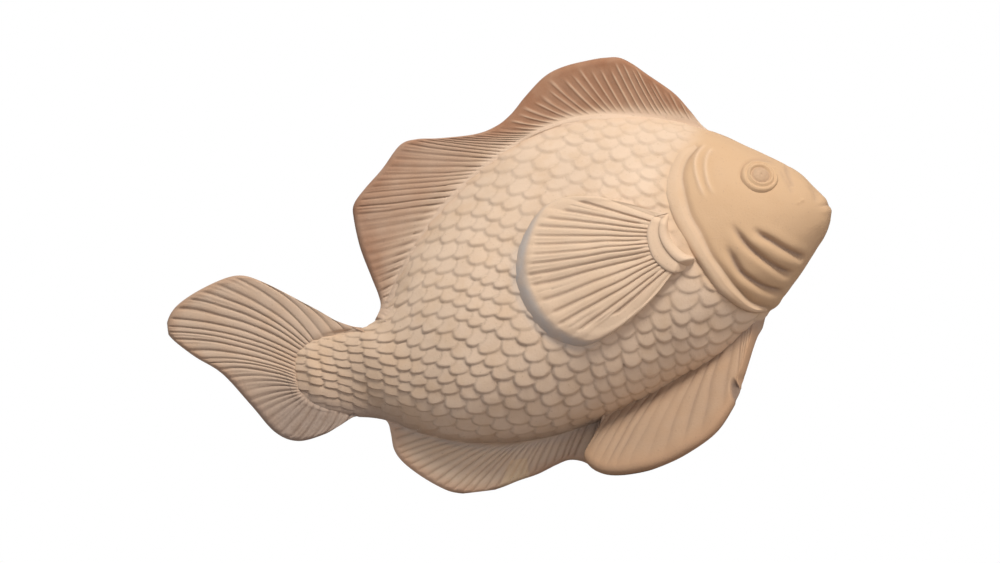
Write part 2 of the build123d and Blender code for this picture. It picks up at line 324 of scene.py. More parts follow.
body_clay = clay(
    "body_clay", pale=(0.665, 0.525, 0.4), deep=(0.515, 0.342, 0.196), shade=(0.3, 0.215, 0.165),
    stain=(0.5, 0.27, 0.165),
)
fin_clay = clay(
    "fin_clay", pale=(0.55, 0.42, 0.315), deep=(0.49, 0.325, 0.205), shade=(0.215, 0.145, 0.105),
    stain=(0.285, 0.132, 0.07),
)
# Painted shade: a darker clay for the pelvic leaves, which flare up into the key light but are meant to read
# as shaded.
shaded_leaf_clay = clay(
    "shaded_leaf_clay", pale=(0.44, 0.315, 0.22), deep=(0.41, 0.26, 0.155), shade=(0.2, 0.14, 0.105),
    stain=(0.35, 0.19, 0.11),
)
pad_clay = clay(
    "pad_clay", pale=(0.65, 0.51, 0.38), deep=(0.6, 0.43, 0.29), shade=(0.29, 0.205, 0.16),
    stain=(0.5, 0.27, 0.165), grain=0.28,
)

# Body

AXIS_START = np.array([-82.6, 68.2])
RISE = math.radians(11.6)
LENGTH, DEPTH, HALF = 256.0, 145.0, 43.0
COLS, ROWS, NOSE_COLS = 372, 252, 9
TAIL_END, NOSE_START, NOSE, NOSE_ROUND = -29.0, 253.6, 255.9, 2.3
CLOSE_START, CLOSE_END = 253.4, NOSE + 0.02
TABLE_STEPS, SECTION_STEPS = 800, 321

# Stations hold a share of LENGTH, top and bottom as shares of DEPTH, a share of HALF, and fullness.
STATIONS = np.array([
    (-0.113, 0.076, -0.034, 0.128, 1.0), (-0.082, 0.131, -0.093, 0.151, 1.0),
    (-0.023, 0.141, -0.148, 0.209, 1.0), (0.039, 0.128, -0.197, 0.314, 0.9),
    (0.107, 0.168, -0.296, 0.488, 0.6), (0.195, 0.321, -0.379, 0.698, 0.3),
    (0.312, 0.466, -0.434, 0.872, 0.1), (0.449, 0.559, -0.441, 0.977, 0.0),
    (0.586, 0.576, -0.414, 1.0, 0.0), (0.703, 0.507, -0.369, 0.965, 0.2),
    (0.811, 0.397, -0.279, 0.872, 0.6), (0.889, 0.279, -0.193, 0.698, 0.9),
    (0.953, 0.166, -0.103, 0.465, 1.0), (0.982, 0.086, -0.062, 0.302, 1.0),
    (0.998, 0.038, -0.028, 0.186, 1.0),
])
# Sections of no and whole fullness, belly to back, in shares of half width and height.
LEAN = np.array([
    (0.0, 0.0), (0.3, 0.012), (0.62, 0.065), (0.93, 0.22), (1.0, 0.4), (0.82, 0.63), (0.42, 0.86),
    (0.17, 0.965), (0.0, 1.0),
])
FULL = np.array([
    (0.0, 0.0), (0.28, 0.012), (0.55, 0.06), (0.87, 0.22), (1.0, 0.46), (0.94, 0.68), (0.68, 0.88),
    (0.36, 0.972), (0.0, 1.0),
])


def body_grid():
    """Right flank as a grid, tail to nose and belly to back, with its run along the axis and its girth."""
    table = through(STATIONS, np.linspace(0, len(STATIONS) - 1, TABLE_STEPS))
    rounded = NOSE_ROUND * (1 - np.sin(np.linspace(0.06, 1, NOSE_COLS) * math.pi / 2))
    along = np.r_[np.linspace(TAIL_END, NOSE_START, COLS - NOSE_COLS), NOSE - rounded]
    share = np.minimum(along / LENGTH, STATIONS[-1, 0])
    top, bottom, half, fullness = (np.interp(share, table[:, 0], table[:, k]) for k in range(1, 5))
    close = round_fall((along - CLOSE_START) / (CLOSE_END - CLOSE_START))
    top, bottom, half = top * DEPTH * close, bottom * DEPTH * close, half * HALF * close
    for start, stop, limit in ((18.0, -14.0, 5.0), (-14.0, -28.0, 1.4)):
        thin = smooth(start, stop, along)
        half = half * (1 - thin) + np.minimum(half, limit) * thin
    places = np.zeros((COLS, ROWS, 3))
    for i in range(COLS):
        flank = LEAN + (FULL - LEAN) * fullness[i]
        flank = np.stack([flank[:, 0] * half[i], bottom[i] + flank[:, 1] * (top[i] - bottom[i])], 1)
        mirrored = np.vstack([flank[1] * (-1, 1), flank, flank[-2] * (-1, 1)])
        out, up = spaced(through(mirrored, np.linspace(1, len(flank), SECTION_STEPS)), ROWS).T
        places[i, :, 0] = AXIS_START[0] + along[i] * math.cos(RISE) - up * math.sin(RISE)
        places[i, :, 1] = -np.clip(out, 0, None)
        places[i, :, 2] = AXIS_START[1] + along[i] * math.sin(RISE) + up * math.cos(RISE)
    places[:, [0, -1], 1] = 0
    girth = length_of(np.diff(places, axis=1)).sum(1)
    return places, along, girth


def grid_normals(places):
    """Outward directions of the right flank, kept in the median plane along belly and back."""
    n = np.cross(np.gradient(places, axis=0), np.gradient(places, axis=1))
    n /= np.maximum(length_of(n), 1e-9)[..., None]
    n[:, [0, -1], 1] = 0
    return n / length_of(n)[..., None]


base, along, girth = body_grid()
base_normals = grid_normals(base)
flank_tree = BVHTree.FromPolygons(
    [Vector(p) for p in base.reshape(-1, 3)], grid_faces(numbered(COLS, ROWS)).tolist()
)
OUTSIDE, BESIDE, INWARD = -120.0, -12.0, Vector((0, 1, 0))
OUTLINE_FALL = 1.8


def on_flank(xz):
    """Places and outward directions on the smooth right flank under points seen from the side."""
    flat = xz.reshape(-1, 2)
    spots, norms = np.zeros((2, len(flat), 3))
    for i, (x, z) in enumerate(flat):
        spot, norm, _, _ = flank_tree.ray_cast(Vector((x, OUTSIDE, z)), INWARD)
        if spot is None:
            spot, norm, _, _ = flank_tree.find_nearest(Vector((x, BESIDE, z)))
        spots[i] = spot
        norms[i] = norm if norm.y < 0 else -norm
    return spots.reshape(*xz.shape[:-1], 3), norms.reshape(*xz.shape[:-1], 3)


def flank_depth(xz):
    """How far the smooth flank stands out from the median plane; negative outside the body's outline."""
    depth = np.zeros(len(xz))
    for i, (x, z) in enumerate(xz):
        spot = flank_tree.ray_cast(Vector((x, OUTSIDE, z)), INWARD)[0]
        if spot is None:
            middle = Vector((x, 0, z))
            depth[i] = -OUTLINE_FALL * (flank_tree.find_nearest(middle)[0] - middle).length
        else:
            depth[i] = -spot.y
    return depth


def to_line(xz, line, count=120):
    """Distance to a curve in the side view, share of the way along it, and side of it.

    The side is positive above the curve or in front of it.
    """
    run = even(line, count)
    flat = xz.reshape(-1, 2)
    best, part, side = np.full(len(flat), 1e9), np.zeros(len(flat)), np.zeros(len(flat))
    for k in range(count - 1):
        a, b = run[k], run[k + 1]
        d = b - a
        t = np.clip(((flat - a) @ d) / (d @ d), 0, 1)
        gap = flat - a - t[:, None] * d
        far = length_of(gap)
        near = far < best
        best = np.where(near, far, best)
        part = np.where(near, (k + t) / (count - 1), part)
        side = np.where(near, np.sign(d[0] * gap[:, 1] - d[1] * gap[:, 0]), side)
    return [field.reshape(xz.shape[:-1]) for field in (best, part, side)]


# Lines measured on the flank

GILL_OUTER = place([
    (690, 141), (676, 155), (667, 173), (664, 190), (667, 206), (675, 228), (688, 250), (699, 267),
    (713, 288), (728, 301), (743, 310), (766, 314),
])
GILL_INNER = place([
    (697, 147), (687, 160), (682, 175), (684, 192), (690, 215), (700, 233), (710, 254), (722, 271),
    (735, 288), (750, 302), (768, 309),
])
# Cheek folds with their depths, raised arcs behind the eye, and creases with their depths and widths.
FOLDS = (
    ([(750, 226), (760, 234), (772, 241), (787, 250), (806, 259)], 2.3),
    ([(728, 221), (738, 234), (749, 247), (765, 260), (781, 270), (794, 274)], 2.5),
    ([(722, 243), (731, 256), (741, 272), (756, 283), (769, 289), (784, 292)], 2.2),
)
ARCS = (
    [(706, 143), (696.5, 154), (694, 166), (697, 182), (702, 194), (707.5, 201)],
    [(713, 147), (706, 157), (704.5, 170), (708, 186.5), (715, 197)],
)
CREASES = (
    ([(785, 165), (787, 173), (790, 181), (793, 189)], 0.8, 1.1),
    ([(779, 168), (783, 177), (788, 186), (792, 196)], 0.45, 1.0),
    ([(808, 186), (814, 193), (816, 203)], 0.4, 1.0),
    ([(743, 187), (740.5, 178), (742, 169), (748, 162.5), (757, 160), (768, 161), (776, 165)], 0.6, 0.8),
)
MOUTH = place([(836, 204.5), (829, 204.5), (821, 206), (814, 208)])
BUMPS = (((801, 200.5), 0.5), ((797, 203), 0.35))
POCKET = place((683, 238))
TAIL_SHADOW = np.array([-108.0, 47.0])
FAN_MIDDLE, FAN_REACH = np.array([20.0, 95.0]), 45.0
PECTORAL = place([
    (650, 221), (648, 217), (630, 208), (610, 202), (585, 199), (560, 200.5), (541, 209), (527, 227),
    (517, 250), (514, 272), (518, 294), (530, 318), (549, 337), (575, 347), (595, 342), (618, 327.5),
    (645, 305), (660, 285), (670, 272), (668, 262),
])
# Key rays of a fin: the pixel at the root, then the one at the free edge.
TAIL_KEYS = (
    (368, 334, 362, 327.5), (357, 331, 350, 325.5), (346, 331.5, 326, 317), (337, 332, 300, 302),
    (322, 336, 262, 281.5), (312, 340, 236, 275.5), (305, 345, 204, 287.5), (299, 351, 177, 305.5),
    (295, 358, 167, 323), (293, 366, 170, 336.5), (293, 374, 194, 356), (294, 383, 222, 373.5),
    (298, 393, 251, 405), (306, 401, 275, 432), (319, 408, 298, 441), (336, 412, 325, 434),
    (346, 413, 340, 424.5), (357, 412, 352, 417.5), (372, 411, 366, 415),
)
TAIL_EDGE = place([(366, 312), *(key[:2] for key in TAIL_KEYS[1:-1]), (367, 432)])
# The edge of the head runs on above and below the gill cover; it is sorted by height.
HEAD_EDGE = np.vstack([GILL_OUTER[0] + np.array([(26, 30), (7, 9)]), GILL_OUTER, GILL_OUTER[-1] + (12, -6)])
HEAD_EDGE = HEAD_EDGE[np.argsort(HEAD_EDGE[:, 1])]


def head_share(xz, blend=2.0):
    """0 behind the rear edge of the gill cover, 1 in front of it."""
    front = np.interp(xz[..., 1], HEAD_EDGE[:, 1], HEAD_EDGE[:, 0])
    return smooth(-blend, blend, xz[..., 0] - front)


# Scales: each knot is a run along the axis and the value there

SCALE_FINE = 3
SCALE_MIDDLE, SCALE_ORIGIN = 0.47, 60.0
LOW_PITCH = ((-25, 7.2), (0, 7.3), (20, 7.5), (45, 7.8), (63, 8.6), (90, 9.6), (150, 11.4), (200, 12.4))
TOP_PITCH = ((-25, 7.2), (0, 7.3), (50, 8.4), (86, 8.8), (123, 9.2), (165, 9.8), (200, 10.2))
LOW_HEIGHT = ((-25, 4.2), (0, 4.4), (50, 7.4), (90, 8.6), (200, 8.0))
TOP_HEIGHT = ((-25, 4.2), (0, 4.4), (50, 6.6), (90, 7.1), (200, 7.3))
LOW_SHIFT = ((-25, 0.15), (12, 0.17), (50, -0.05), (110, -0.05), (170, 0.3))
TOP_SHIFT = ((-25, 0.15), (12, 0.17), (60, 0.3), (100, 0.34), (140, 0.45))
ROW_SLOPE = ((-25, -0.22), (50, -0.2), (90, -0.2), (130, 0.08), (165, 0.2), (200, 0.23))
SCALE_BLUNT = ((-25, 4.5), (15, 3.6), (50, 2.8), (120, 2.3))
SCALE_WIDE = ((-25, 0.48), (12, 0.49), (40, 0.58), (90, 0.58), (140, 0.6))
SCALE_DEEP = ((-25, 0.56), (12, 0.57), (40, 0.62), (90, 0.64), (140, 0.9))
SCALE_TURN = math.radians(18.5)
SCALE_RELIEF = ((-25, 1.25), (20, 1.35), (80, 1.65), (200, 1.8))


def scales(seed):
    """Height of the scales on one flank, and a painted shadow just outside each scale's free edge.

    Upper rows lap lower ones. Rows are worked out on a finer grid, then averaged.
    """
    a = np.arange(COLS * SCALE_FINE) / SCALE_FINE - (SCALE_FINE - 1) / (2 * SCALE_FINE)
    a = np.interp(a, np.arange(COLS), along)
    share = (np.arange(ROWS * SCALE_FINE) + 0.5) / (ROWS * SCALE_FINE)
    upper = smooth(0.4, 0.75, share)

    def summed(rate):
        total = np.cumsum(np.gradient(a) * rate)
        return (total - np.interp(SCALE_ORIGIN, a, total))[:, None]

    def down_body(knots):
        return ramp(a, knots)[:, None]

    pitch = down_body(LOW_PITCH) * (1 - upper) + down_body(TOP_PITCH) * upper
    slope = down_body(ROW_SLOPE)
    u = summed(1 / ramp(a, LOW_PITCH)) * (1 - upper) + summed(1 / ramp(a, TOP_PITCH)) * upper
    v = (SCALE_MIDDLE - share) * np.interp(a, along, girth)[:, None] - summed(ramp(a, ROW_SLOPE))
    height = np.where(v > 0, down_body(LOW_HEIGHT), down_body(TOP_HEIGHT))
    v = v / height
    u = u + 0.17 * drift(u / 2.3, v / 2.3, seed)
    v = v + 0.17 * drift(u / 2.1 + 9, v / 2.1, seed + 2)
    turn = SCALE_TURN * smooth(140.0, 95.0, a)[:, None]
    blunt = down_body(SCALE_BLUNT)
    widened = 1 + 0.12 * (1 - upper) * window(a, 20, 60, 100, 150)[:, None]
    wide = down_body(SCALE_WIDE) * widened * pitch
    deep = down_body(SCALE_DEEP) * height
    start = 0.9 - 0.07 * upper
    found = np.zeros(u.shape, bool)
    lift, outside = np.zeros(u.shape), np.full(u.shape, 9.0)
    row = np.floor(v)
    for below in (-1, 0, 1):
        j = row + below
        shift = np.where(j >= 0, down_body(LOW_SHIFT), down_body(TOP_SHIFT))
        column = np.floor(u + shift * j)
        for ahead in (1, 0, -1):
            i = column + ahead
            ahead_by = pitch * (u + shift * j - i - 0.5 - 0.18 * (shaken(i, j, seed + 5) - 0.5))
            down_by = height * (v - j - 0.5 - 0.16 * (shaken(i, j, seed + 6) - 0.5)) + slope * ahead_by
            x = (np.cos(turn) * ahead_by + np.sin(turn) * down_by) / wide
            y = (np.cos(turn) * down_by - np.sin(turn) * ahead_by) / deep
            q = (np.abs(x) ** blunt + np.abs(y) ** blunt) ** (1 / blunt)
            inside = (q < 1) & ~found
            tilt = 0.5 + 0.5 * np.clip(0.75 * y - 0.45 * x, -1, 1)
            dome = round_fall((q - start) / (1 - start)) * (0.84 + 0.32 * shaken(i, j, seed + 7))
            lift = np.where(inside, (0.15 + 0.85 * tilt) * dome, lift)
            outside = np.where(found | inside, outside, np.minimum(outside, q - 1))
            found |= inside

    def pool(field):
        return field.reshape(COLS, SCALE_FINE, ROWS, SCALE_FINE).mean((1, 3))

    return pool(lift), pool(bell(outside, 0.13))


def head_relief(spots):
    """Height, painted shade and painted highlight of the folds, arcs, creases, mouth and bumps on the head.
    """
    add, dark, light = np.zeros((3, len(spots)))
    for line, depth in FOLDS:
        far, part, side = to_line(spots, place(line))
        ends = window(part, 0, 0.3, 0.9, 1)
        over = far * side
        add -= depth * ends * np.where(over > 0, bell(over, 1.15), bell(over, 2.1))
        add += 0.85 * ends * bell(over + 4.6, 3.0) + 0.35 * ends * bell(over - 3.6, 2.4)
        dark = np.maximum(dark, ends * bell(over + 0.2, 1.35))
    for line in ARCS:
        far, part, side = to_line(spots, place(line))
        ends = window(part, 0, 0.15, 0.72, 1)
        over = far * side
        add += ends * (0.9 * bell(over, 0.95) - 0.25 * bell(over - 2.4, 1.2))
        light = np.maximum(light, 0.35 * ends * bell(over, 0.9))
    for line, depth, width in CREASES:
        far, part, _ = to_line(spots, place(line))
        ends = window(part, 0, 0.2, 0.8, 1)
        add -= depth * ends * bell(far, width)
        dark = np.maximum(dark, 0.55 * depth * ends * bell(far, width))
    far = to_line(spots, GILL_INNER)[0]
    add -= 0.9 * bell(far, 1.8)
    dark = np.maximum(dark, 0.35 * bell(far, 1.3))
    far, part, _ = to_line(spots, MOUTH)
    add -= 0.45 * smooth(1.0, 0.35, part) * bell(far, 0.9)
    add += 0.4 * smooth(1.0, 0.4, part) * bell(far - 3.0, 1.8)
    dark = np.maximum(dark, 0.25 * smooth(1.0, 0.4, part) * bell(far, 0.8))
    for spot, size in BUMPS:
        add += size * bell(length_of(spots - place(spot)), 0.9)
    return np.stack([add, dark, light])


def swelling(from_belly, from_back):
    """Broad bulges of throat, nape and tail root, and the dip behind the dorsal fin."""
    run = along[:, None]
    throat = 1.3 * bell(from_belly, 14.0) * window(run, 185.0, 215.0, 246.0, 254.0)
    nape = 0.7 * bell(from_back, 12.0) * window(run, 165.0, 185.0, 246.0, 254.0)
    tail_root = 1.1 * bell(from_belly, 8.0) * bell(run - 4.0, 16.0)
    dip = 2.2 * bell(from_back, 8.0) * bell(run - 20.0, 8.0)
    return throat + nape + tail_root - dip


def skin(seed):
    """Displaced right flank with its marks."""
    xz = base[..., [0, 2]]
    run = along[:, None]
    share = np.linspace(0, 1, ROWS)
    from_back, from_belly = (1 - share) * girth[:, None], share * girth[:, None]
    head = head_share(xz)
    in_front = head > 0.01
    add, dark, light = head_relief(xz[in_front]) * head[in_front]

    rear = np.flatnonzero(along < 30.0)
    far, _, side = to_line(xz[rear], TAIL_EDGE)
    under_tail = np.zeros(head.shape)
    under_tail[rear] = np.where(side < 0, smooth(0.5, 2.5, far), 0.0)
    pocket = bell(length_of(xz - POCKET), 7.5) * (base[..., 1] < -10)
    tail_dark = bell(length_of(xz - TAIL_SHADOW), 9.0)

    lift, groove = scales(seed)
    fade = smooth(0.5, 4.0, from_back) * smooth(0.5, 12.0, from_belly) * smooth(TAIL_END, -25.0, run)
    cover = (1 - head) * fade * (1 - under_tail) * (1 - pocket)
    softened = 0.82 + 0.18 * smooth(0.9, 0.62, share)
    height = ramp(run, SCALE_RELIEF) * softened * cover * (lift - 0.35)
    height[in_front] += add
    height += 0.28 * uneven(xz, 17, seed + 11) + 0.1 * uneven(xz, 5, seed + 12)
    height += swelling(from_belly, from_back) + 1.2 * pocket - 1.6 * under_tail - 0.28
    points = base + base_normals * height[..., None]
    points[:, [0, -1], 1] = 0
    points[..., 1] = np.minimum(points[..., 1], 0)

    # Painted shade: darker towards the tail root, along the belly bottom, and just below each scale's free
    # edge, more so on the lower flank; the head adds the shade of its folds and creases.
    root = smooth(55.0, 10.0, run)
    belly = 0.78 * bell(from_belly, 15.0) * smooth(170.0, 130.0, run)
    hollow = groove * cover * (0.36 + 0.22 * smooth(0.8, 0.5, share))
    hollow = np.maximum(hollow, 0.14 * root + belly)
    hollow[in_front] = np.maximum(hollow[in_front], dark)
    # Painted highlight on the head's raised arcs.
    rub = np.zeros(head.shape)
    rub[in_front] = light
    # Greyer along the belly bottom and round the painted tail shadow; real slip smeared along part of the
    # pectoral fin's edge.
    slip = 0.35 * tail_dark + 0.2 * bell(from_belly - 3.0, 6.0) * (run < 120)
    around = (np.abs(xz - FAN_MIDDLE) < FAN_REACH).all(-1) & (base[..., 1] < -15)
    far, part, _ = to_line(xz[around], PECTORAL)
    smear = 0.5 * bell(far, 1.8) * window(part, 0.34, 0.42, 0.7, 0.78)
    slip[around] = np.maximum(slip[around], smear)
    marks = {
        "hollow": np.clip(np.maximum(hollow, 0.55 * tail_dark), 0, 1),
        "warm": 0.12 + 0.78 * head_share(xz, 10.0) + 0.2 * root,
        "slip": np.clip(slip, 0, 1),
        "rub": rub,
        "stain": 0.42 * bell(from_back, 5.5) * window(run, 20.0, 60.0, 176.0, 196.0),
    }
    return points, marks


def body_half(side, seed):
    points, marks = skin(seed)
    grid_piece(f"{side}_body", points, side, f"{side}_body_half", body_clay, marks)


body_half("right", 3)
body_half("left", 41)


# Fins on the median plane

DORSAL_KEYS = (
    (720, 140, 714, 134), (707, 131, 702, 125), (697, 124, 690, 110.5), (690, 122, 674, 93),
    (673, 118.5, 647, 74), (662, 117.5, 632, 63.5), (651, 117, 619, 57.5), (638, 116, 606, 57.5),
    (626, 115.5, 592, 59.5), (610, 115, 565, 66), (594, 116, 545, 76), (573, 118, 526, 95.5),
    (555, 123, 511, 114), (540, 129, 496, 126), (526, 135, 475, 134), (513, 142, 440, 138),
    (503, 149, 417, 139), (495, 155, 400, 145), (480, 167, 382, 169), (465, 180, 364, 189.5),
    (452, 193, 354, 204), (441, 205, 353.5, 217), (421, 232, 360, 247), (405, 262, 371, 276),
    (392, 288, 378.5, 295), (387, 308, 380.5, 307), (381, 325, 375, 320),
)
ANAL_KEYS = (
    (384, 413, 378, 416.5), (394, 420, 387.5, 422), (411, 429, 391, 434), (432, 437, 394, 449),
    (455, 443, 402, 461), (475, 446, 418, 474), (493, 448, 438, 486), (508, 448, 455, 492.5),
    (520, 446.5, 479, 493.5), (531, 444, 500, 488), (542, 441, 519, 480.5), (555, 437, 538, 474),
    (570, 432, 556, 465), (584, 426, 569, 460), (595, 421, 581, 461), (601, 419, 590, 465),
)
CHIP_CORNERS = place([(497, 492), (511, 460), (527, 458), (531, 490)])
# How many rays have passed at each key ray of the tail.
TAIL_RAYS = (
    0, 0.3, 0.6, 1.2, 2.6, 3.6, 5.6, 8.0, 9.6, 11.5, 13.5, 16.5, 20.5, 24.5, 27.0, 29.0, 30.0, 30.6, 31.0,
)
SHORT_END, SLAB_ROUND, NEAR_BODY = 0.012, 3.4, 30.0
DORSAL_HALF, TAIL_HALF, ANAL_HALF = 2.9, 2.75, 2.9


def ray_fan(keys, count, steps, bow, inset):
    """Rays between the key rays, from root to free edge.

    Gives places in the side view, their distances from edge and foot, and each ray's share of the way.
    """
    roots, tips = place(np.reshape(keys, (-1, 2, 2))).swapaxes(0, 1)
    t = np.linspace(0, len(keys) - 1, count)
    root, tip = through(roots, t), through(tips, t)
    way = tip - root
    length = length_of(way)
    unit = way / length[:, None]
    root = root - unit * inset
    way = tip - root
    length = (length + inset)[:, None]
    cross = np.stack([-unit[:, 1], unit[:, 0]], 1)
    r = np.linspace(0, 1, steps) ** 0.92
    sag = np.interp(t, np.linspace(0, len(keys) - 1, len(bow)), bow)
    spots = root[:, None] + way[:, None] * r[:, None]
    spots = spots + (cross * sag[:, None])[:, None] * (4 * r * (1 - r))[:, None]
    return spots, (1 - r) * length, r * length - inset, t / (len(keys) - 1)


def own_rays(wander, seed):
    """Number of the ray at each place, place across it from -0.5 to 0.5, and its own random number."""
    which = np.floor(wander)
    return which, wander - which - 0.5, shaken(which, seed)


def arch(local):
    """Rounded back of a ray, 1 in its middle and 0 at its sides."""
    return 1 - (2 * local) ** 2


def between(local, width):
    """Groove between two rays."""
    return bell(np.abs(local) - 0.5, width)


# A style gives half thickness, relief and painted shade, which goes below zero on the dorsal ridges for a
# painted highlight, and a paint gives the marks.

def dorsal_style(local, own, edge, foot, s):
    """Ridges on the front lobe, cut rays on the rear one."""
    front = smooth(0.56, 0.48, s)
    reach = smooth(0.5 + 4.0 * own, 5.0 + 7.0 * own, edge) * smooth(1.0, 5.0, foot)
    ridge = bell(local + 0.2 * (own - 0.5), 0.15) * reach
    cut = between(local, 0.12) * smooth(0.5, 5.0, edge) * (0.45 + 0.55 * own)
    split = bell(local + 0.4 * (own - 0.5), 0.09) * window(edge, 0.5, 4.0, 10.0, 26.0) * (own > 0.45)
    nick = between(local, 0.12) * bell(foot - 4.5, 4.0) * (own > 0.35)
    rear_relief = 0.62 * cut + 0.35 * split + 0.45 * nick - 0.2 * arch(local)
    relief = front * (0.58 * ridge - 0.12) - (1 - front) * rear_relief
    hollow = front * 0.24 * (1 - ridge) * smooth(1, 8, foot) * smooth(3, 12, edge)
    hollow = hollow + (1 - front) * (0.55 * cut + 0.35 * split + 0.7 * nick)
    return DORSAL_HALF, relief, hollow - 0.3 * front * ridge


def tail_style(local, own, edge, foot, s):
    """Deep cuts between rays that fork near the edge."""
    near_edge = smooth(-0.5, 1.5, edge)
    cut = (0.22 + 0.78 * smooth(0.2, 0.38, s)) * between(local, 0.105)
    cut = cut * smooth(-4.0, 2.0, foot + 3.0 * (own - 0.5)) * near_edge
    fork = bell(local + 0.35 * (own - 0.5), 0.075) * smooth(26.0, 8.0, edge + 14 * (own - 0.6)) * (own > 0.4)
    fork = fork * near_edge
    relief = 0.42 * arch(local) - 0.62 * cut - 0.38 * fork
    return TAIL_HALF, relief - 0.2, np.maximum(0.62 * cut, 0.45 * fork)


def anal_style(local, own, edge, foot, s):
    """Rounded rays."""
    cut = between(local, 0.14) * smooth(-1.0, 4.0, foot) * smooth(0.5, 3.5, edge) * (0.5 + 0.5 * own)
    relief = 0.35 * arch(local) - 0.6 * cut
    return ANAL_HALF, relief - 0.2, 0.5 * cut


def dorsal_paint(hollow, edge, foot, spots, s):
    """Iron stain that fades towards the back and thins on the ridges, with a painted highlight on the ridges
    and along the foot.
    """
    front = smooth(0.6, 0.45, s)
    top = smooth(0, 1, (foot - 0.5) / (20.0 - 10.0 * front))
    stain = top * (0.9 + 0.1 * smooth(24.0, 3.0, edge)) * (0.5 + 0.5 * front)
    stain = stain + 0.35 * top * smooth(0.16, 0.04, s) + 0.35 * (1 - front) * smooth(14.0, 2.0, edge)
    stain = stain + 2.2 * np.minimum(hollow, 0) * front
    rub = 1.1 * np.clip(-hollow, 0, 1) + 0.8 * smooth(7.0, -1.5, foot)
    return {
        "hollow": hollow, "stain": np.clip(stain, 0, 1), "warm": 0.15 + 0.55 * top * front,
        "rub": np.clip(rub, 0, 1),
    }


def tail_paint(hollow, edge, foot, spots, s):
    """Stained rim, and painted shade that greys and darkens the lower lobe."""
    rim = smooth(8.0, 0.5, edge)
    low = smooth(0.55, 0.75, s)
    hollow = 0.85 * low + hollow * (1 - 0.35 * low)
    return {"hollow": hollow, "stain": 0.4 * rim, "warm": 0.05 + 0.35 * rim, "slip": 0.3 * low}


def anal_paint(hollow, edge, foot, spots, s):
    """Stained rim, grey clay wash along the root and a pale chip with straight sides."""
    chip = np.ones(edge.shape)
    for a, b in zip(CHIP_CORNERS[:-1], CHIP_CORNERS[1:]):
        way = (b - a) / np.linalg.norm(b - a)
        chip = chip * smooth(-0.4, 0.4, way[1] * (spots[..., 0] - a[0]) - way[0] * (spots[..., 1] - a[1]))
    rim = smooth(9.0, 1.0, edge)
    return {
        "hollow": hollow, "stain": 0.55 * rim * (1 - chip), "warm": 0.15 + 0 * rim, "chip": chip,
        "slip": 0.55 * bell(foot - 1.0, 4.0),
    }


def median_fin(name, keys, grid, rays, bow, inset, corner, material, style, paint, seed, sink=-0.6):
    """Slab on the median plane that grows out of the body.

    rays is the count of rays at each key ray, or the width of one. corner is the size of the soft corner
    between slab and flank, and sink is the height above the foot where the slab dives under the skin.
    """
    count, steps = grid
    spots, edge, foot, s = ray_fan(keys, count, steps, bow, inset)
    if isinstance(rays, tuple):
        phase = np.interp(s, np.linspace(0, 1, len(rays)), rays)
    else:
        phase = run_along(spots[:, int(0.45 * steps)]) / rays
    phase = phase + 0.22 * drift(phase / 1.7, s * 0 + 2, seed)
    wander = phase[:, None] + 0.1 * drift(phase[:, None] * 0.8 + 0 * edge, foot / 14, seed + 1)
    _, local, own = own_rays(wander, seed + 2)
    s = s[:, None] + 0 * edge
    thick, relief, hollow = style(local, own, edge, foot, s)
    rim = round_rise(edge / SLAB_ROUND)
    half = thick * rim
    near = foot < NEAR_BODY
    own_half, flank = half[near], flank_depth(spots[near])
    lap = np.clip(1 - np.abs(own_half - flank) / corner, 0, 1)
    half[near] = np.maximum(own_half, flank) + lap**2 * corner / 4
    half = half - 0.5 * smooth(2.0 + sink, sink - 2.0, foot)
    half = half - 2.2 * smooth(2 * sink, 5 * sink - 5.0, foot)
    half = half + relief * smooth(0.3, 3.0, edge) * smooth(-3.0, 1.0, foot)
    half = np.clip(half, 0, None)
    half[:, -1] = 0
    half = np.clip(half + 0.22 * rim * uneven(spots, 9, seed + 3), 0, None)
    whole = smooth(0, SHORT_END, np.minimum(s, 1 - s))
    half = half * whole + 0.4 * (1 - whole) * rim
    side_view = both_faces(spots, spots)
    points = np.stack([side_view[..., 0], both_faces(-half, half), side_view[..., 1]], -1)
    points[..., 0] = np.maximum(points[..., 0], LEFT_LIMIT)
    points[..., 2] = np.clip(points[..., 2], FLOOR_GAP, TOP_LIMIT)
    marks = paint(hollow, edge, foot, spots, s)
    marks["hollow"] = np.clip(marks["hollow"], 0, 1)
    grid_piece(f"{name}_slab", points, "right", name, material, on_both_faces(marks))


median_fin(
    "dorsal_fin", DORSAL_KEYS, grid=(430, 92), rays=3.9, bow=(0, 0.5, 1, 1, 0.5, 0, 0), inset=7.0,
    corner=6.5, material=fin_clay, style=dorsal_style, paint=dorsal_paint, seed=5,
)
median_fin(
    "tail_fin", TAIL_KEYS, grid=(330, 110), rays=TAIL_RAYS, bow=(0, -2, -4, -5, -4, -3, 1, 3, 0), inset=5.0,
    corner=3.5, material=fin_clay, style=tail_style, paint=tail_paint, seed=17, sink=0.3,
)
median_fin(
    "anal_fin", ANAL_KEYS, grid=(280, 80), rays=4.2, bow=(0, -1, -1.5, -1, 0), inset=6.0,
    corner=6.0, material=pad_clay, style=anal_style, paint=anal_paint, seed=29,
)


# Pelvic fins: leaves that flare from the belly

